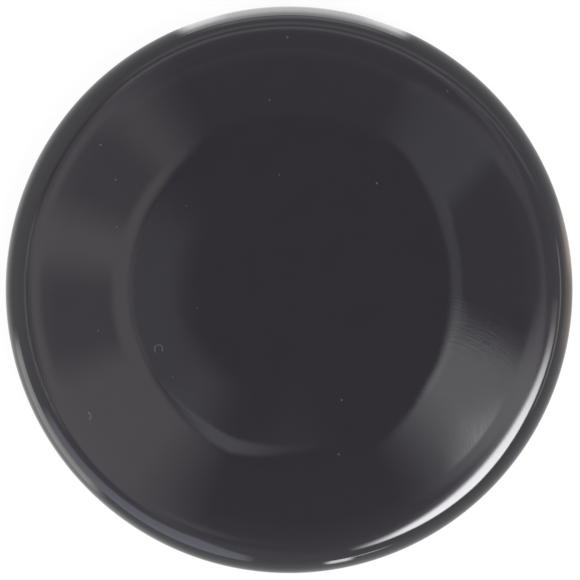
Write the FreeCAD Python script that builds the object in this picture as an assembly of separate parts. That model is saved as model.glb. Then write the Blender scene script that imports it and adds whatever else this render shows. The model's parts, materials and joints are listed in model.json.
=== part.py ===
"""Gas burner cap: a round lid pressed in one piece from steel sheet and enamelled all over.

The top has a broad, flat plateau, a soft shoulder, a straight flank that falls outward so that spills
run off, a hollow ease where that fall slackens to the brim, and a rolled rim that turns down from the
brim into a short upright skirt. The sheet keeps one thickness everywhere, so the underside is the
same form, hollow, with the skirt's trimmed lower edge, broken on both corners, as the ring that the
cap rests on.

The section is a chain of arcs and straight runs that share their tangents. Each runs from one station
to the next, and a station is a distance from the axis with the slope that the top has there.
Frame: millimetres, +Z up along the axis, origin on the axis in the plane of the skirt's lower edge.
"""

import FreeCAD
import Part
import math
import os

# Overall sizes
CAP_DIAMETER = 100.0
WALL = 2.0
SKIRT_HEIGHT = 2.5
EDGE_CHAMFER = 0.5

# Widths across the top, seen from above
PLATEAU_RADIUS = 26.8
SHOULDER_WIDTH = 4.7
EASE_WIDTH = 2.5
ROLL_WIDTH = 5.45

# Slopes of the top where two runs meet, in degrees below the horizontal
PLATEAU_SLOPE = 0.0
FLANK_SLOPE = 14.0
BRIM_SLOPE = 6.3
SKIRT_SLOPE = 90.0

# Two slopes whose sines differ by less than this are joined by a straight run
EQUAL_SINES = 1e-9
# The chamfers of the lower edge leave at least this share of the wall flat
EDGE_FLAT_SHARE = 0.1

CAP_RADIUS = CAP_DIAMETER / 2
BORE_RADIUS = CAP_RADIUS - WALL
FLANK_TOP_RADIUS = PLATEAU_RADIUS + SHOULDER_WIDTH
BRIM_RADIUS = CAP_RADIUS - ROLL_WIDTH
FLANK_FOOT_RADIUS = BRIM_RADIUS - EASE_WIDTH


def point(radius, height):
    """A point of the section, in the XZ plane."""
    return FreeCAD.Vector(radius, 0, height)


def outward(slope):
    """The unit vector that stands square on the top where it falls outward at that slope."""
    return FreeCAD.Vector(math.sin(slope), 0, math.cos(slope))


def top_stations():
    """The stations of the top from the axis to the skirt: distance from the axis and slope."""
    stations = [
        (0.0, PLATEAU_SLOPE),
        (PLATEAU_RADIUS, PLATEAU_SLOPE),
        (FLANK_TOP_RADIUS, FLANK_SLOPE),
        (FLANK_FOOT_RADIUS, FLANK_SLOPE),
        (BRIM_RADIUS, BRIM_SLOPE),
        (CAP_RADIUS, SKIRT_SLOPE),
    ]
    return [(radius, math.radians(slope)) for radius, slope in stations]


def run_between(width, slope_start, slope_end):
    """The signed radius and the fall of the arc that covers a width between two slopes.

    The radius is positive where the top is rounded and negative where it is hollow. It is None for
    a straight run, where the two slopes are the same.
    """
    sine_change = math.sin(slope_end) - math.sin(slope_start)
    if abs(sine_change) < EQUAL_SINES:
        return None, width * math.tan(slope_start)
    radius = width / sine_change
    return radius, radius * (math.cos(slope_start) - math.cos(slope_end))


def top_fall(stations):
    """How far the top falls from the axis to the start of the upright skirt."""
    pairs = zip(stations, stations[1:])
    return sum(run_between(r_end - r_start, a, b)[1] for (r_start, a), (r_end, b) in pairs)


def surface_edges(stations, height, depth):
    """The edges of the face that lies at a depth under the top, from the axis outward.

    Every arc keeps its centre, and its radius is less by the depth.
    """
    edges = []
    for (r_start, slope_start), (r_end, slope_end) in zip(stations, stations[1:]):
        start = point(r_start, height)
        radius, fall = run_between(r_end - r_start, slope_start, slope_end)
        height -= fall
        if radius is None:
            end = point(r_end, height)
            shift = outward(slope_start) * depth
            edges.append(Part.LineSegment(start - shift, end - shift).toShape())
            continue
        centre = start - outward(slope_start) * radius
        slopes = (slope_start, (slope_start + slope_end) / 2, slope_end)
        edges.append(Part.Arc(*(centre + outward(s) * (radius - depth) for s in slopes)).toShape())
    return edges


def skirt_edges():
    """The upright skirt outside and inside, and its lower edge with both corners broken."""
    chamfer = min(EDGE_CHAMFER, WALL * (1 - EDGE_FLAT_SHARE) / 2)
    corners = [
        point(CAP_RADIUS, SKIRT_HEIGHT),
        point(CAP_RADIUS, chamfer),
        point(CAP_RADIUS - chamfer, 0),
        point(BORE_RADIUS + chamfer, 0),
        point(BORE_RADIUS, chamfer),
        point(BORE_RADIUS, SKIRT_HEIGHT),
    ]
    return [Part.LineSegment(start, end).toShape() for start, end in zip(corners, corners[1:])]


def burner_cap():
    """The whole cap: its section turned once round the axis."""
    stations = top_stations()
    top_height = SKIRT_HEIGHT + top_fall(stations)
    top = surface_edges(stations, top_height, 0.0)
    underside = surface_edges(stations, top_height, WALL)
    axis = Part.LineSegment(point(0, top_height - WALL), point(0, top_height)).toShape()
    outline = Part.Wire(Part.__sortEdges__(top + skirt_edges() + underside + [axis]))
    return Part.Face(outline).revolve(FreeCAD.Vector(0, 0, 0), FreeCAD.Vector(0, 0, 1), 360)


def main():
    """Write the cap and print its sizes."""
    os.makedirs("parts", exist_ok=True)
    cap = burner_cap()
    cap.exportStep("parts/burner_cap.step")
    box = cap.optimalBoundingBox()
    print(f"valid {cap.isValid()}, solids {len(cap.Solids)}, volume {cap.Volume:.1f} mm3")
    print(f"diameter {box.XLength:.2f}, height {box.ZLength:.3f}, lowest {box.ZMin:.4f}")


main()
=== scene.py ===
"""The gas burner cap in its enamel, with the studio and the camera of its portrait from straight above.

The cap is one pressed sheet, so it is one piece here too: a fine surface of revolution with the frame's
own radius, height and wall, dressed in glossy black vitreous enamel. Around it stand a pale floor, two
soft lamps and a set of panels that show only in reflections, because a glossy black surface is seen by
what it mirrors.

Lengths in the classes are millimetres and angles are degrees. An azimuth is counted clockwise from the
right as the camera sees the cap, and a zenith angle from straight up.
"""

import json
import logging
import math
from dataclasses import dataclass
from enum import Enum
from typing import Any

import bpy
import numpy as np
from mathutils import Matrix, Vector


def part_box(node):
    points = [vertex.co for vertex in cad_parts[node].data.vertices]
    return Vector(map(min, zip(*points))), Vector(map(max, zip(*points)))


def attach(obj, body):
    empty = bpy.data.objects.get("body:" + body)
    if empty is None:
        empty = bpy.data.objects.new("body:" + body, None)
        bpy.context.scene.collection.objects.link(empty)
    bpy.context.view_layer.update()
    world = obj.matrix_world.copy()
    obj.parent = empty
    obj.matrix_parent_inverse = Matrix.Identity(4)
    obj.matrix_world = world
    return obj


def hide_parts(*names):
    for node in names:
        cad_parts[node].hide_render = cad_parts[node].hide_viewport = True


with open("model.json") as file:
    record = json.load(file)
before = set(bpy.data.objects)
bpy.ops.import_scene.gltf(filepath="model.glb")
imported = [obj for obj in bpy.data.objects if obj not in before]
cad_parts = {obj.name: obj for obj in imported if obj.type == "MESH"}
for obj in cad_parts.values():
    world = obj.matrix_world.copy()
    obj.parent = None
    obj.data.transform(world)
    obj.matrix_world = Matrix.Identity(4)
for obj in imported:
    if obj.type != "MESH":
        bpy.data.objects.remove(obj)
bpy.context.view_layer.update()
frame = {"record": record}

LOG = logging.getLogger("burner_cap")
MM = 0.001
NODE = "burner_cap"
BODY = "root"


class Coat(Enum):
    """The coats of enamel on the cap, with the material slot of its mesh that each one takes."""

    COVER = 0
    GROUND = 1


def linear(hex_colour: str) -> tuple[float, float, float, float]:
    """Turns an sRGB hex colour to linear light.

    The constants are the sRGB standard's own: a straight line near black and a power above it.

    Args:
        hex_colour: Six hex digits after a hash sign.

    Returns:
        Red, green, blue and a full alpha.
    """
    codes = np.array([int(hex_colour[i : i + 2], 16) for i in (1, 3, 5)]) / 255
    light = np.where(codes <= 0.04045, codes / 12.92, ((codes + 0.055) / 1.055) ** 2.4)
    return (*light.tolist(), 1.0)


def add_node(
    tree: bpy.types.NodeTree, kind: str, settings: dict[str, Any] | None = None, **sockets: Any
) -> bpy.types.Node:
    """Adds a node, sets its properties and feeds its inputs.

    Args:
        tree: The node tree of a material or a world.
        kind: The node's type name, without the shader prefix.
        settings: Properties of the node itself.
        **sockets: Inputs by name, with spaces as underscores, or by number as i0, i1 and so on. An
            output socket is linked, a node is linked by its first output, and any other value is set.

    Returns:
        The new node.
    """
    node = tree.nodes.new("ShaderNode" + kind)
    for name, value in (settings or {}).items():
        setattr(node, name, value)
    for name, value in sockets.items():
        key = int(name[1:]) if name[1:].isdigit() else name.replace("_", " ")
        source = value.outputs[0] if isinstance(value, bpy.types.Node) else value
        if isinstance(source, bpy.types.NodeSocket):
            tree.links.new(source, node.inputs[key])
        else:
            node.inputs[key].default_value = source
    return node


def new_material(name: str) -> tuple[bpy.types.Material, bpy.types.NodeTree]:
    """Makes a material with an empty node tree.

    Args:
        name: The material's name.

    Returns:
        The material and its tree.
    """
    material = bpy.data.materials.new(name)
    material.use_nodes = True
    material.node_tree.nodes.clear()
    return material, material.node_tree


def new_object(name: str, vertices: np.ndarray, faces: list[list[int]]) -> bpy.types.Object:
    """Makes a smooth mesh object at the origin and puts it in the scene.

    Args:
        name: The object's name.
        vertices: Points in metres, one row each.
        faces: Vertex numbers of each face.

    Returns:
        The object.
    """
    mesh = bpy.data.meshes.new(name)
    mesh.from_pydata(vertices.tolist(), [], faces)
    mesh.shade_smooth()
    made = bpy.data.objects.new(name, mesh)
    bpy.context.scene.collection.objects.link(made)
    return made


def grid_faces(rows: int, columns: int) -> list[list[int]]:
    """The four-sided faces between the points of a grid that is numbered row by row.

    Args:
        rows: Points in one direction.
        columns: Points in the other.

    Returns:
        Vertex numbers of each face.
    """
    number = np.arange(rows * columns).reshape(rows, columns)
    corners = number[:-1, :-1], number[1:, :-1], number[1:, 1:], number[:-1, 1:]
    return np.stack(corners, axis=-1).reshape(-1, 4).tolist()


def smooth_step(value: np.ndarray) -> np.ndarray:
    """Rises from 0 to 1 as the value does, level at both ends: three squares less two cubes."""
    share = np.clip(value, 0.0, 1.0)
    return share * share * (3.0 - 2.0 * share)


def soft_window(value: np.ndarray, limits: tuple[float, float], soft: float) -> np.ndarray:
    """A window that is 1 between two limits and 0 outside, with edges that fade over a width.

    Args:
        value: Where the window is read.
        limits: The middles of the rising and the falling edge.
        soft: The width of each edge.

    Returns:
        The window's height at each value.
    """
    low, high = limits
    return smooth_step((value - low) / soft + 0.5) * smooth_step((high - value) / soft + 0.5)


def dome_points(azimuth: np.ndarray, zenith: np.ndarray, distance: float) -> np.ndarray:
    """Points on a dome over the origin.

    The zenith angle's sine spreads a point to the side, along the azimuth, and its cosine lifts it.

    Args:
        azimuth: Clockwise from the right as the camera sees it, in degrees.
        zenith: From straight up, in degrees.
        distance: The dome's radius in millimetres.

    Returns:
        The points in metres, in a new last axis.
    """
    turn, tilt = np.radians(azimuth), np.radians(zenith)
    sides = np.sin(tilt) * np.cos(turn), -np.sin(tilt) * np.sin(turn), np.cos(tilt)
    return np.stack(np.broadcast_arrays(*sides), axis=-1) * distance * MM


@dataclass(frozen=True)
class Fibre:
    """A fibre of lint that lies as an arch: half an ellipse on two straight legs."""

    x: float
    y: float
    turn: float
    width: float
    height: float
    leg: float
    thread: float = 0.1


@dataclass(frozen=True)
class Dirt:
    """Dust and lint on the top of the cap: pale matt specks, placed where they lie in the portrait."""

    colour: str
    specks: tuple[tuple[float, float, float], ...]
    fibres: tuple[Fibre, ...]

    def mask(self, tree: bpy.types.NodeTree, place: bpy.types.NodeSocket) -> bpy.types.Node:
        """Draws the dirt as seen from above.

        Args:
            tree: The node tree of the enamel.
            place: The position on the cap, in metres.

        Returns:
            A node that is 1 on dirt and 0 elsewhere.
        """
        flat = add_node(tree, "VectorMath", {"operation": "MULTIPLY"}, i0=place, i1=(1.0, 1.0, 0.0))
        marks = [self._speck(tree, flat, *speck) for speck in self.specks]
        marks += [self._fibre(tree, flat, fibre) for fibre in self.fibres]
        shown = marks[0]
        for mark in marks[1:]:
            shown = add_node(tree, "Math", {"operation": "MAXIMUM"}, i0=shown, i1=mark)
        return shown

    def _speck(
        self, tree: bpy.types.NodeTree, flat: bpy.types.Node, x: float, y: float, radius: float
    ) -> bpy.types.Node:
        """A round dot that fades from half its radius outward."""
        away = add_node(tree, "VectorMath", {"operation": "DISTANCE"}, i0=flat, i1=(x * MM, y * MM, 0.0))
        rim = radius * MM
        return add_node(tree, "MapRange", i0=away.outputs["Value"], i1=rim / 2, i2=rim, i3=1.0, i4=0.0)

    def _fibre(self, tree: bpy.types.NodeTree, flat: bpy.types.Node, fibre: Fibre) -> bpy.types.Node:
        """A thin line where the distance from the arch's middle, in arch sizes, is about 1.

        Below the middle only the sideways distance counts, which makes the legs, and these end.
        """
        local = add_node(
            tree, "Mapping", {"vector_type": "TEXTURE"}, Vector=flat,
            Location=(fibre.x * MM, fibre.y * MM, 0.0), Rotation=(0.0, 0.0, math.radians(fibre.turn)),
            Scale=(fibre.width / 2 * MM, fibre.height * MM, MM),
        )
        across = add_node(tree, "SeparateXYZ", i0=local)
        rise = add_node(tree, "Math", {"operation": "MAXIMUM"}, i0=across.outputs[1], i1=0.0)
        arch = add_node(tree, "CombineXYZ", i0=across.outputs[0], i1=rise)
        reach = add_node(tree, "VectorMath", {"operation": "LENGTH"}, i0=arch).outputs["Value"]
        off = add_node(tree, "Math", {"operation": "SUBTRACT"}, i0=reach, i1=1.0)
        gap = add_node(tree, "Math", {"operation": "ABSOLUTE"}, i0=off)
        half = fibre.thread / fibre.width
        line = add_node(tree, "MapRange", i0=gap, i1=half, i2=2 * half, i3=1.0, i4=0.0)
        leg = add_node(
            tree, "Math", {"operation": "GREATER_THAN"},
            i0=across.outputs[1], i1=-fibre.leg / fibre.height,
        )
        return add_node(tree, "Math", {"operation": "MULTIPLY"}, i0=line, i1=leg)


@dataclass(frozen=True)
class Film:
    """A thin dull film that wiping leaves, thickest along a ring and fading on both sides of it."""

    colour: str
    roughness: float
    inner_radius: float
    crest_radius: float
    outer_radius: float

    def mask(self, tree: bpy.types.NodeTree, place: bpy.types.NodeSocket) -> bpy.types.Node:
        """Draws the film by the distance from the cap's axis.

        Args:
            tree: The node tree of the enamel.
            place: The position on the cap, in metres.

        Returns:
            A node that is 1 on the film's crest and 0 beyond its two edges.
        """
        flat = add_node(tree, "VectorMath", {"operation": "MULTIPLY"}, i0=place, i1=(1.0, 1.0, 0.0))
        away = add_node(tree, "VectorMath", {"operation": "LENGTH"}, i0=flat).outputs["Value"]
        sides = [
            add_node(
                tree, "MapRange", {"interpolation_type": "SMOOTHSTEP"},
                i0=away, i1=edge * MM, i2=self.crest_radius * MM, i3=0.0, i4=1.0,
            )
            for edge in (self.inner_radius, self.outer_radius)
        ]
        return add_node(tree, "Math", {"operation": "MINIMUM"}, i0=sides[0], i1=sides[1])


@dataclass(frozen=True)
class Wipe:
    """Fine streaks that a cloth left as it swung about one point: short arcs round a centre on the cap."""

    x: float
    y: float
    near: float
    far: float
    left: float
    limit: float
    streak_width: float
    streak_turn: float
    depth: float
    limit_fade: float = 1.0

    def height(self, tree: bpy.types.NodeTree, place: bpy.types.NodeSocket) -> bpy.types.Node:
        """Draws the streaks from the distance and the direction to their centre.

        A noise is read at the distance in streak widths and the direction in streak turns, which draws
        its blotches out into arcs. They fade from one distance toward the centre and outward, to the
        left of the centre, and at a radius of the cap.

        Args:
            tree: The node tree of the enamel.
            place: The position on the cap, in metres.

        Returns:
            A node with the height of the streaks, in metres.
        """
        flat = add_node(tree, "VectorMath", {"operation": "MULTIPLY"}, i0=place, i1=(1.0, 1.0, 0.0))
        radius = add_node(tree, "VectorMath", {"operation": "LENGTH"}, i0=flat).outputs["Value"]
        centre = (self.x * MM, self.y * MM, 0.0)
        from_centre = add_node(tree, "VectorMath", {"operation": "SUBTRACT"}, i0=flat, i1=centre)
        away = add_node(tree, "VectorMath", {"operation": "LENGTH"}, i0=from_centre).outputs["Value"]
        sides = add_node(tree, "SeparateXYZ", i0=from_centre).outputs
        turn = add_node(tree, "Math", {"operation": "ARCTAN2"}, i0=sides[1], i1=sides[0])
        widths = add_node(tree, "Math", {"operation": "DIVIDE"}, i0=away, i1=self.streak_width * MM)
        turns = add_node(tree, "Math", {"operation": "DIVIDE"}, i0=turn, i1=math.radians(self.streak_turn))
        grid = add_node(tree, "CombineXYZ", i0=widths, i1=turns)
        noise = add_node(tree, "TexNoise", Vector=grid, Scale=1.0, Detail=1.0)
        streak = add_node(tree, "Math", {"operation": "MULTIPLY"}, i0=noise, i1=self.depth * MM)
        fades = (
            (away, self.near, 0.0), (away, self.near, self.far),
            (sides[0], -self.left / 2, -self.left), (radius, self.limit - self.limit_fade, self.limit),
        )
        for distance, full, gone in fades:
            fade = add_node(
                tree, "MapRange", {"interpolation_type": "SMOOTHSTEP"},
                i0=distance, i1=full * MM, i2=gone * MM, i3=1.0, i4=0.0,
            )
            streak = add_node(tree, "Math", {"operation": "MULTIPLY"}, i0=streak, i1=fade)
        return streak


@dataclass(frozen=True)
class EnamelFinish:
    """Black vitreous enamel: glass frit fired on pressed steel.

    The melt levels itself before it sets, so the eye sees a deep black under a clear wet gloss, with
    a faint orange peel and slow swells that bend the reflections. Wiping leaves hairlines in it, which
    catch the light around a highlight. These are drawn wider than real ones, so that they show.
    """

    name: str
    colour: str
    mottle_colour: str
    roughness: tuple[float, float]
    peel_height: float
    swell_height: float
    hairline_depth: float
    film: Film | None = None
    wipe: Wipe | None = None
    dirt: Dirt | None = None
    ior: float = 1.5
    mottle_size: float = 5.0
    mottle_detail: float = 3.0
    mottle_range: tuple[float, float] = (0.3, 0.7)
    peel_size: float = 1.6
    peel_detail: float = 1.0
    swell_size: float = 14.0
    hairline_size: tuple[float, float] = (6.0, 0.35)
    hairline_band: float = 0.08
    hairline_turns: tuple[float, ...] = (12.0, 55.0, 97.0, 150.0)

    def material(self) -> bpy.types.Material:
        """Builds the enamel from object coordinates, so that it needs no unwrapping.

        Returns:
            The material.
        """
        material, tree = new_material(self.name)
        place = add_node(tree, "TexCoord").outputs["Object"]
        mottle = add_node(
            tree, "TexNoise", Vector=place, Scale=1.0 / (self.mottle_size * MM), Detail=self.mottle_detail
        )
        colour = add_node(
            tree, "Mix", {"data_type": "RGBA"},
            Factor=mottle, i6=linear(self.colour), i7=linear(self.mottle_colour),
        ).outputs[2]
        low, high = self.mottle_range
        gloss = add_node(
            tree, "MapRange", i0=mottle, i1=low, i2=high, i3=self.roughness[0], i4=self.roughness[1]
        )
        if self.film:
            film = self.film.mask(tree, place)
            colour = add_node(
                tree, "Mix", {"data_type": "RGBA"}, Factor=film, i6=colour, i7=linear(self.film.colour)
            ).outputs[2]
            dull = add_node(tree, "Math", {"operation": "MULTIPLY"}, i0=film, i1=self.film.roughness)
            gloss = add_node(tree, "Math", {"operation": "MAXIMUM"}, i0=gloss, i1=dull)
        if self.dirt:
            dirt = self.dirt.mask(tree, place)
            colour = add_node(
                tree, "Mix", {"data_type": "RGBA"}, Factor=dirt, i6=colour, i7=linear(self.dirt.colour)
            ).outputs[2]
            gloss = add_node(tree, "Math", {"operation": "MAXIMUM"}, i0=gloss, i1=dirt)
        surface = add_node(
            tree, "BsdfPrincipled",
            Base_Color=colour, Roughness=gloss, IOR=self.ior, Normal=self._relief(tree, place),
        )
        add_node(tree, "OutputMaterial", Surface=surface)
        return material

    def _relief(self, tree: bpy.types.NodeTree, place: bpy.types.NodeSocket) -> bpy.types.Node:
        """The normal of the fired surface: orange peel and hairlines on slow swells, in metres."""
        peel = add_node(
            tree, "TexNoise", Vector=place, Scale=1.0 / (self.peel_size * MM), Detail=self.peel_detail
        )
        swell = add_node(tree, "TexNoise", Vector=place, Scale=1.0 / (self.swell_size * MM), Detail=0.0)
        slow = add_node(tree, "Math", {"operation": "MULTIPLY"}, i0=swell, i1=self.swell_height * MM)
        height = add_node(
            tree, "Math", {"operation": "MULTIPLY_ADD"}, i0=peel, i1=self.peel_height * MM, i2=slow
        )
        for turn in self.hairline_turns:
            height = add_node(
                tree, "Math", {"operation": "MULTIPLY_ADD"},
                i0=self._hairlines(tree, place, turn), i1=-self.hairline_depth * MM, i2=height,
            )
        if self.wipe:
            streaks = self.wipe.height(tree, place)
            height = add_node(tree, "Math", {"operation": "ADD"}, i0=height, i1=streaks)
        return add_node(tree, "Bump", Strength=1.0, Distance=1.0, Height=height)

    def _hairlines(
        self, tree: bpy.types.NodeTree, place: bpy.types.NodeSocket, turn: float
    ) -> bpy.types.Node:
        """Long thin lines in one direction, where a stretched noise passes its middle value."""
        length, width = self.hairline_size
        along = add_node(
            tree, "Mapping", {"vector_type": "TEXTURE"}, Vector=place,
            Rotation=(0.0, 0.0, math.radians(turn)), Scale=(length * MM, width * MM, length * MM),
        )
        noise = add_node(tree, "TexNoise", Vector=along, Scale=1.0, Detail=0.0)
        off = add_node(tree, "Math", {"operation": "SUBTRACT"}, i0=noise, i1=0.5)
        gap = add_node(tree, "Math", {"operation": "ABSOLUTE"}, i0=off)
        return add_node(tree, "MapRange", i0=gap, i1=0.0, i2=self.hairline_band, i3=1.0, i4=0.0)


@dataclass
class PressedCap:
    """The cap: one sheet with a plateau, shoulder, flank, hollow ease, brim, rolled rim and skirt.

    The section is a chain of runs that share their tangents. A run goes from one station to the next,
    and a station is a distance from the axis with the slope that the top has there. Plateau and flank
    are crowned a little, as pressed sheet is.
    """

    radius: float
    height: float
    wall: float
    plateau_radius: float = 26.8
    plateau_edge_slope: float = 0.6
    shoulder_width: float = 4.7
    flank_slopes: tuple[float, float] = (13.4, 14.6)
    ease_width: float = 2.5
    brim_slope: float = 6.3
    roll_width: float = 5.45
    skirt_slope: float = 90.0
    edge_round: float = 0.55
    top_points: tuple[int, ...] = (24, 28, 24, 20, 56)
    under_points: tuple[int, ...] = (12, 14, 12, 10, 28)
    edge_points: int = 10
    segments: int = 336

    @classmethod
    def from_frame(cls) -> "PressedCap":
        """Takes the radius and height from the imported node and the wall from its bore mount."""
        low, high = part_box(NODE)
        radius = (high[0] - low[0]) / 2 / MM
        bores = [mount["dims"]["r_mm"] for mount in frame["record"]["mounts"] if mount["kind"] == "bore"]
        return cls(radius=radius, height=(high[2] - low[2]) / MM, wall=radius - bores[0])

    def _stations(self) -> np.ndarray:
        """Distance from the axis in millimetres and slope in radians, from the axis to the skirt."""
        brim_radius = self.radius - self.roll_width
        stations = np.array([
            (0.0, 0.0),
            (self.plateau_radius, self.plateau_edge_slope),
            (self.plateau_radius + self.shoulder_width, self.flank_slopes[0]),
            (brim_radius - self.ease_width, self.flank_slopes[1]),
            (brim_radius, self.brim_slope),
            (self.radius, self.skirt_slope),
        ])
        stations[:, 1] = np.radians(stations[:, 1])
        return stations

    def _face_line(self, depth: float, counts: tuple[int, ...]) -> np.ndarray:
        """The line of the face that lies at a depth under the top, from the axis to the skirt.

        Along a run the sine of the slope changes evenly with the distance from the axis, which makes
        it an arc, whose radius is the run's width by the change of the sine. The height falls by that
        radius times the change of the cosine. A point under the top is moved back by the depth along
        the direction that stands square on the top.

        Args:
            depth: Depth under the top, in millimetres.
            counts: Steps on each run.

        Returns:
            Radius and height of each point, in millimetres.
        """
        stations = self._stations()
        height = self.height
        lines: list[np.ndarray] = []
        for (start, slope_start), (end, slope_end), count in zip(stations, stations[1:], counts):
            slope = np.linspace(slope_start, slope_end, count + 1)
            bend = (end - start) / (math.sin(slope_end) - math.sin(slope_start))
            radius = start + bend * (np.sin(slope) - math.sin(slope_start))
            top = height - bend * (math.cos(slope_start) - np.cos(slope))
            line = np.stack([radius - depth * np.sin(slope), top - depth * np.cos(slope)], axis=1)
            lines.append(line[1:] if lines else line)
            height = top[-1]
        return np.concatenate(lines)

    def _section(self) -> tuple[np.ndarray, int]:
        """The section from the top of the axis, round the skirt's edge, to the underside at the axis.

        Returns:
            Radius and height of each point in millimetres, and the number of points before the
            underside starts.
        """
        top = self._face_line(0.0, self.top_points)
        under = self._face_line(self.wall, self.under_points)[::-1]
        turn = np.linspace(0.0, math.pi / 2, self.edge_points)
        outer = np.stack([np.cos(turn) - 1.0, 1.0 - np.sin(turn)], axis=1) * self.edge_round
        inner = outer[::-1] * (-1.0, 1.0)
        outer[:, 0] += self.radius
        inner[:, 0] += self.radius - self.wall
        section = np.concatenate([top, outer, inner, under])
        section[[0, -1], 0] = 0.0
        return section, len(section) - len(under)

    def build(self) -> bpy.types.Object:
        """Turns the section once round the axis, with one vertex at each pole.

        A point of the section at radius r and height z stands, after a turn t, at r times the cosine
        of t, r times the sine of t, and z.

        Returns:
            The cap's object.
        """
        section, under_start = self._section()
        turns = np.linspace(0.0, 2 * math.pi, self.segments, endpoint=False)
        rings = section[1:-1]
        heights = np.repeat(rings[:, 1:], self.segments, axis=1)
        sides = np.outer(rings[:, 0], np.cos(turns)), np.outer(rings[:, 0], np.sin(turns)), heights
        poles = np.insert(section[[0, -1]], 1, 0.0, axis=1)
        points = np.concatenate([poles[:1], np.stack(sides, axis=-1).reshape(-1, 3), poles[1:]])
        number = 1 + np.arange(len(rings) * self.segments).reshape(len(rings), self.segments)
        after = np.roll(number, -1, axis=1)
        walls = np.stack([number[:-1], number[1:], after[1:], after[:-1]], axis=-1)
        crown = np.stack([np.zeros_like(number[0]), number[0], after[0]], axis=-1)
        floor = np.stack([number[-1], np.full_like(number[0], len(points) - 1), after[-1]], axis=-1)
        faces = walls.reshape(-1, 4).tolist() + crown.tolist() + floor.tolist()
        made = new_object("cap_shell", points * MM, faces)
        # Ring k is point k + 1 of the section, and a band of faces is underside where its second ring is
        below = np.repeat(np.arange(len(rings) - 1) >= under_start - 2, self.segments)
        coats = np.where(below, Coat.GROUND.value, Coat.COVER.value)
        ends = np.repeat([Coat.COVER.value, Coat.GROUND.value], self.segments)
        made.data.polygons.foreach_set("material_index", np.concatenate([coats, ends]))
        return made

    def dress(self, made: bpy.types.Object) -> None:
        """Gives the cap its two coats and ties it to the frame.

        Args:
            made: The cap's object.
        """
        for finish in (COVER_COAT, GROUND_COAT):
            made.data.materials.append(finish.material())
        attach(made, BODY)
        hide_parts(NODE)


@dataclass(frozen=True)
class Panel:
    """A soft panel of light, or a veil that dims what stands behind it, seen only in reflections.

    It lies between two azimuths and two limits of its span, which each kind of panel measures in its
    own way, and soft gives the widths of its edges in both directions. A panel that leans has its span
    moved by that much for every degree of azimuth from its middle.
    """

    name: str
    azimuth: tuple[float, float]
    span: tuple[float, float]
    radiance: float = 0.0
    veil: float = 0.0
    colour: str = "#FFFFFF"
    soft: tuple[float, float] = (6.0, 4.0)
    lean: float = 0.0
    points: tuple[int, int] = (61, 41)

    def build(self) -> bpy.types.Object:
        """Makes the panel, with its glow and its dimming stored at its points.

        Returns:
            The panel's object.
        """
        azimuths = self._reach(self.azimuth, self.soft[0], self.points[0])
        spans = self._reach(self.span, self.soft[1], self.points[1])
        azimuth, span = np.meshgrid(azimuths, spans, indexing="ij")
        share = self._share(azimuth, span)
        moved = np.maximum(span + self.lean * (azimuth - np.mean(self.azimuth)), 0.0)
        made = new_object(self.name, self._place(azimuth, moved).reshape(-1, 3), grid_faces(*self.points))
        for label, values in (("glow", share * self.radiance), ("veil", 1.0 - share * self.veil)):
            attribute = made.data.attributes.new(label, "FLOAT", "POINT")
            attribute.data.foreach_set("value", values.ravel())
        made.data.materials.append(self._material())
        made.visible_camera = made.visible_diffuse = made.visible_shadow = False
        return made

    def _reach(self, limits: tuple[float, float], soft: float, count: int) -> np.ndarray:
        """Even steps over two limits and their soft edges."""
        return np.linspace(limits[0] - soft / 2, limits[1] + soft / 2, count)

    def _share(self, azimuth: np.ndarray, span: np.ndarray) -> np.ndarray:
        """How strongly each point shines: a soft window over the azimuth times one over the span."""
        across = soft_window(azimuth, self.azimuth, self.soft[0])
        return across * soft_window(span, self.span, self.soft[1])

    def _place(self, azimuth: np.ndarray, span: np.ndarray) -> np.ndarray:
        """The panel's points in metres."""
        raise NotImplementedError

    def _material(self) -> bpy.types.Material:
        """Light of the stored strength, added to what shows through the panel."""
        material, tree = new_material(self.name)
        material.cycles.emission_sampling = "NONE"
        glow = add_node(tree, "Attribute", {"attribute_name": "glow"}).outputs["Fac"]
        veil = add_node(tree, "Attribute", {"attribute_name": "veil"}).outputs["Fac"]
        light = add_node(tree, "Emission", Color=linear(self.colour), Strength=glow)
        clear = add_node(tree, "BsdfTransparent", Color=veil)
        both = add_node(tree, "AddShader", i0=light, i1=clear)
        add_node(tree, "OutputMaterial", Surface=both)
        return material


@dataclass(frozen=True)
class DomePanel(Panel):
    """A field of a dome over the cap. Its span is zenith angles."""

    distance: float = 1200.0
    veil_share: float = 0.8

    def _place(self, azimuth: np.ndarray, span: np.ndarray) -> np.ndarray:
        """Points at one distance from the cap. A veil hangs a little nearer than the lights."""
        return dome_points(azimuth, span, self.distance * (self.veil_share if self.veil else 1.0))


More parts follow.
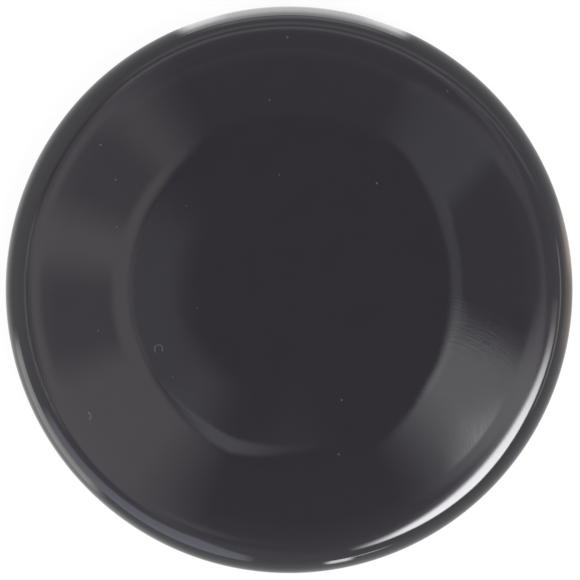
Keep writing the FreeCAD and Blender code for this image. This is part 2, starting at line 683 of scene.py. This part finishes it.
@dataclass(frozen=True)
class BandPanel(DomePanel):
    """A band on the dome whose limits of span and whose radiance change along it.

    A station holds an azimuth, the two limits there and the radiance. Between stations all of them
    change evenly. The edge at the far limit has its own width where that isn't 0.
    """

    stations: tuple[tuple[float, float, float, float], ...] = ()
    far_soft: float = 0.0

    @classmethod
    def along(
        cls, name: str, stations: tuple[tuple[float, float, float, float], ...], soft: float, **rest: Any
    ) -> "BandPanel":
        """Makes a band that reaches over all of its stations.

        Args:
            name: The panel's name.
            stations: Azimuth, both limits of the span and radiance, in the order of the azimuth.
            soft: The width of the two long edges.
            **rest: The panel's other fields.

        Returns:
            The band.
        """
        turns, lows, highs, _ = zip(*stations)
        reach = (min(lows), max(highs))
        return cls(name, (turns[0], turns[-1]), reach, 1.0, soft=(0.0, soft), stations=stations, **rest)

    def _share(self, azimuth: np.ndarray, span: np.ndarray) -> np.ndarray:
        """The radiance between the two limits at each azimuth, with soft long edges."""
        turns, *sides = np.array(self.stations).T
        low, high, level = (np.interp(azimuth, turns, side) for side in sides)
        near = smooth_step((span - low) / self.soft[1] + 0.5)
        return level * near * smooth_step((high - span) / (self.far_soft or self.soft[1]) + 0.5)


@dataclass(frozen=True)
class FloorPanel(Panel):
    """A bright patch on the floor beside the cap. Its span is distances from the axis.

    Patches that overlap need lifts of their own, because a ray meets only one of two that coincide.
    """

    lift: float = 0.2

    def _place(self, azimuth: np.ndarray, span: np.ndarray) -> np.ndarray:
        """Points just over the floor."""
        turn = np.radians(azimuth)
        sides = span * np.cos(turn), -span * np.sin(turn), np.full_like(turn, self.lift)
        return np.stack(sides, axis=-1) * MM


DIRT = Dirt(
    colour="#5E5D62",
    specks=(
        (-0.3, 44.0, 0.22), (-3.4, 32.9, 0.18), (-32.8, 25.2, 0.2), (-30.1, 19.1, 0.18), (-17.8, 14.5, 0.11),
        (-1.7, 19.9, 0.14), (-29.8, 10.9, 0.15), (27.6, 34.6, 0.16), (15.2, 18.4, 0.2), (-33.1, -7.1, 0.17),
        (-15.9, -3.2, 0.13), (-20.1, -15.1, 0.12), (9.1, -19.1, 0.2), (8.6, -28.5, 0.17),
    ),
    fibres=(
        Fibre(-22.6, -10.0, turn=5.0, width=1.3, height=0.45, leg=0.8, thread=0.09),
        Fibre(-34.8, -22.0, turn=280.0, width=1.0, height=0.3, leg=0.1, thread=0.24),
    ),
)
FILM = Film(colour="#2F2C33", roughness=0.16, inner_radius=40.0, crest_radius=45.2, outer_radius=47.2)
WIPE = Wipe(
    x=23.0, y=-29.2, near=21.0, far=34.0, left=12.0, limit=44.5,
    streak_width=0.4, streak_turn=11.0, depth=0.0105,
)
COVER_COAT = EnamelFinish(
    "glossy_black_enamel_cover_coat", colour="#242129", mottle_colour="#28252D", roughness=(0.025, 0.04),
    peel_height=0.0006, swell_height=0.006, hairline_depth=0.0002, film=FILM, wipe=WIPE, dirt=DIRT,
)
GROUND_COAT = EnamelFinish(
    "satin_black_enamel_ground_coat", colour="#1F1E21", mottle_colour="#2B2A2D", roughness=(0.3, 0.42),
    peel_height=0.004, swell_height=0.01, hairline_depth=0.0,
)

PANELS = (
    BandPanel.along(
        "left_wash",
        (
            (110, 22, 40, 0.0), (120, 19, 40, 0.48), (130, 16, 40, 0.93), (138, 13.5, 40, 0.98),
            (146, 11.5, 40, 0.98), (156, 9.5, 40, 0.98), (186, 9.5, 40, 0.98), (200, 11, 40, 0.98),
            (207, 12.5, 40, 0.96), (214, 13, 40, 0.9), (220, 14, 40, 0.92), (226, 16.5, 40, 0.82),
            (232, 17.5, 42, 0.56), (238, 22, 42, 0.22), (244, 28, 42, 0.0),
        ),
        soft=9,
        colour="#FFFCFA",
    ),
    DomePanel("left_wash_line", (150, 196), (44, 52), 1.0, soft=(10, 6), colour="#FFFCFA"),
    DomePanel("left_veil", (160, 185.5), (27, 46), veil=0.42, soft=(13, 9)),
    DomePanel("upper_left_veil", (200, 224), (25, 46), veil=0.42, soft=(13, 9)),
    DomePanel("left_fill", (158, 228), (50, 92), 0.16, soft=(20, 8)),
    DomePanel("plateau_glow", (122, 212), (3.95, 9.3), 0.38, soft=(30, 0.3)),
    BandPanel.along(
        "lower_shoulder",
        (
            (74, 4, 11, 0.0), (90, 5.5, 13, 0.24), (100, 7, 18.5, 0.52), (110, 9, 23, 0.85),
            (118, 7.5, 20, 0.9), (126, 6.5, 15, 0.8), (138, 6, 11, 0.3), (146, 6, 10, 0.0),
        ),
        soft=6,
    ),
    DomePanel("lower_roll", (92, 124), (38, 54), 0.15, soft=(12, 8)),
    BandPanel.along(
        "right_shoulder",
        (
            (298, 31, 44, 0.0), (306, 30, 44, 0.3), (313, 27, 44, 0.44), (320, 21.5, 43, 0.46),
            (326, 19.5, 36.5, 0.46), (332, 17, 31, 0.46), (340, 14.5, 25, 0.44), (352, 13, 23.5, 0.44),
            (366, 12, 23, 0.5), (376, 11.5, 23, 0.2), (384, 11, 23, 0.0),
        ),
        soft=7,
    ),
    DomePanel("right_fill", (326, 368), (24, 46), 0.1, soft=(16, 8)),
    BandPanel.along(
        "key_spill",
        (
            (2, 15, 27, 0.0), (10, 15, 32, 0.85), (20, 15.5, 38, 1.7), (34, 17.5, 42, 1.8),
            (43, 21.5, 42, 1.3), (50, 24, 42, 0.7), (56, 27, 42, 0.25), (62, 28, 42, 0.0),
        ),
        soft=9,
    ),
    DomePanel("key_spill_ring", (18, 38), (17, 24), 0.35, soft=(10, 6)),
    BandPanel.along(
        "key",
        (
            (2, 46, 67, 0.4), (7, 48, 67, 1.2), (12, 49, 67, 4.0), (20, 46, 65.8, 11.5),
            (28, 41.3, 66, 16.5), (38, 39.8, 69.3, 18.3), (46, 41, 71.8, 19.0), (56, 45, 69.5, 18.8),
            (64, 49.5, 66.3, 17.5), (70, 54, 65.3, 10.5), (77, 57, 64.5, 0.0),
        ),
        soft=15,
        far_soft=6,
    ),
    DomePanel("top_strip_inner", (228, 304), (37, 45), 0.9, soft=(10, 5)),
    DomePanel("top_strip_outer", (232, 304), (53, 62), 0.45, soft=(10, 5)),
    DomePanel("top_strip_inner_end", (302, 336), (45, 53), 0.6, soft=(8, 5), lean=0.55),
    DomePanel("top_strip_outer_end", (302, 326), (60, 68), 0.4, soft=(8, 5), lean=0.4),
    BandPanel.along(
        "blue_window",
        (
            (97, 72, 92, 0.0), (100, 66, 92, 1.75), (105, 58, 91, 1.85), (110, 52, 90, 1.85),
            (120, 57, 92, 1.75), (140, 64, 96, 1.6), (150, 67, 98, 1.55), (155, 69, 98, 0.0),
        ),
        soft=8,
        colour="#D9E1F5",
    ),
    DomePanel("right_line", (350.5, 386), (74.5, 79.5), 1.9, soft=(6, 3), colour="#FFE9E0"),
    DomePanel("top_horizon", (252, 290), (77, 89), 1.0, soft=(10, 8)),
    DomePanel("top_fill", (240, 304), (24, 42), 0.07, soft=(20, 14)),
    FloorPanel("top_patch", (248, 294), (54, 400), 2.5, soft=(4, 10)),
    FloorPanel("top_patch_near", (247, 295), (54, 72), 0.85, soft=(2, 10), lift=0.3),
    FloorPanel("top_patch_left_end", (247.5, 256), (52, 64), 1.05, soft=(5, 6), lift=0.4),
    FloorPanel("top_patch_right_end", (286, 294.5), (51.5, 63), 0.95, soft=(5, 6), lift=0.4),
    FloorPanel("left_near", (116, 212), (50, 60), 0.25, soft=(22, 6), lift=0.3),
    FloorPanel("lower_left_patch", (134, 169), (59, 400), 2.25, soft=(7, 6)),
    FloorPanel("lower_patch", (77, 82), (74, 600), 8.0, soft=(2.5, 14)),
    FloorPanel("lower_patch_tail", (69.5, 78), (140, 500), 5.0, soft=(6, 40), lift=0.3),
    FloorPanel("warm_patch", (349, 372), (54, 90), 0.45, soft=(6, 6), colour="#FFD2A8"),
    FloorPanel("warm_patch_near", (344, 356), (52, 62), 0.7, soft=(6, 5), colour="#FFE2CC", lift=0.3),
)


@dataclass
class Studio:
    """The floor, the surroundings, the lamps and the panels, none of which belong to the cap."""

    floor_radius: float = 4000.0
    floor_hole: float = 1.0
    floor_drop: float = 0.05
    floor_rings: int = 40
    floor_segments: int = 96
    floor_colour: str = "#6E6E6E"
    floor_shine: float = 0.9
    floor_mirrored: float = 0.71
    overhead: float = 0.34
    horizon: float = 0.8
    horizon_heights: tuple[float, float] = (0.45, 0.92)
    lamp_distance: float = 1000.0

    def build(self) -> None:
        """Sets up everything around the cap."""
        self._floor()
        self._surroundings()
        self._lamp("key_lamp", azimuth=43.0, zenith=45.0, size=700.0, power=3.4)
        self._lamp("fill_lamp", azimuth=180.0, zenith=30.0, size=900.0, power=1.8)
        for panel in PANELS:
            panel.build()
        LOG.info("studio: floor, surroundings, two lamps and %d panels", len(PANELS))

    def _floor(self) -> None:
        """A round floor a hair under the cap. Its rings grow evenly, from a small hole under it."""
        radii = np.linspace(self.floor_hole, self.floor_radius, self.floor_rings) * MM
        turns = np.linspace(0.0, 2 * math.pi, self.floor_segments + 1)
        radius, turn = np.meshgrid(radii, turns, indexing="ij")
        level = np.full_like(turn, -self.floor_drop * MM)
        points = np.stack([radius * np.cos(turn), radius * np.sin(turn), level], axis=-1)
        floor = new_object("floor", points.reshape(-1, 3), grid_faces(*points.shape[:2]))
        material, tree = new_material("pale_matt_floor")
        ray = add_node(tree, "LightPath").outputs
        bent = add_node(
            tree, "Math", {"operation": "MAXIMUM"}, i0=ray["Is Glossy Ray"], i1=ray["Is Transmission Ray"]
        )
        mirrored = add_node(tree, "Math", {"operation": "MULTIPLY"}, i0=bent, i1=self.floor_mirrored)
        shine = add_node(
            tree, "Math", {"operation": "MULTIPLY_ADD"},
            i0=ray["Is Camera Ray"], i1=self.floor_shine, i2=mirrored,
        )
        light = add_node(tree, "Emission", Strength=shine)
        matt = add_node(tree, "BsdfDiffuse", Color=linear(self.floor_colour))
        both = add_node(tree, "AddShader", i0=light, i1=matt)
        add_node(tree, "OutputMaterial", Surface=both)
        floor.data.materials.append(material)

    def _surroundings(self) -> None:
        """A room that is pale at the horizon and dim overhead."""
        world = bpy.data.worlds.new("dim_room")
        bpy.context.scene.world = world
        world.use_nodes = True
        tree = world.node_tree
        tree.nodes.clear()
        direction = add_node(tree, "SeparateXYZ", i0=add_node(tree, "TexCoord").outputs["Generated"])
        low, high = self.horizon_heights
        level = add_node(
            tree, "MapRange", {"interpolation_type": "SMOOTHSTEP"},
            i0=direction.outputs[2], i1=low, i2=high, i3=self.horizon, i4=self.overhead,
        )
        light = add_node(tree, "Background", Color=linear("#FFFFFF"), Strength=level)
        add_node(tree, "OutputWorld", Surface=light)

    def _lamp(self, name: str, azimuth: float, zenith: float, size: float, power: float) -> None:
        """A soft square lamp that points at the cap and stays out of its reflections.

        Args:
            name: The lamp's name.
            azimuth: Where it stands, in degrees.
            zenith: How far from straight up it stands, in degrees.
            size: Its side, in millimetres.
            power: Its power, in watts.
        """
        data = bpy.data.lights.new(name, "AREA")
        data.size = size * MM
        data.energy = power
        lamp = bpy.data.objects.new(name, data)
        lamp.location = dome_points(np.array(azimuth), np.array(zenith), self.lamp_distance)
        lamp.rotation_euler = (0.0, math.radians(zenith), math.radians(-azimuth))
        lamp.visible_camera = lamp.visible_glossy = False
        bpy.context.scene.collection.objects.link(lamp)


@dataclass
class PortraitCamera:
    """A long lens straight above the cap, framed as the photograph is."""

    outline_radius: float
    outline_height: float = 3.0
    distance: float = 500.0
    sensor: float = 36.0
    image_side: float = 580.0
    outline_px: float = 283.72
    offset_px: tuple[float, float] = (-0.93, 0.31)
    clip: tuple[float, float] = (10.0, 20000.0)

    def build(self) -> None:
        """Places the camera so that the cap's outline has its size and place in the image."""
        pixel = self.outline_radius / self.outline_px
        data = bpy.data.cameras.new("portrait_camera")
        data.sensor_width = self.sensor
        data.lens = self.sensor * self.distance / (self.image_side * pixel)
        data.clip_start, data.clip_end = (limit * MM for limit in self.clip)
        camera = bpy.data.objects.new("portrait_camera", data)
        right, up = (-pixel * MM * offset for offset in self.offset_px)
        camera.location = (right, up, (self.outline_height + self.distance) * MM)
        bpy.context.scene.collection.objects.link(camera)
        bpy.context.scene.camera = camera


def main() -> None:
    """Builds the cap, its studio and its camera in order."""
    logging.basicConfig(level=logging.INFO, format="%(name)s: %(message)s")
    bpy.context.scene.view_settings.view_transform = "Standard"
    cap = PressedCap.from_frame()
    shell = cap.build()
    cap.dress(shell)
    LOG.info("%s: %d faces, %d finishes", shell.name, len(shell.data.polygons), len(shell.data.materials))
    Studio().build()
    PortraitCamera(outline_radius=cap.radius).build()


if __name__ == "__main__":
    main()
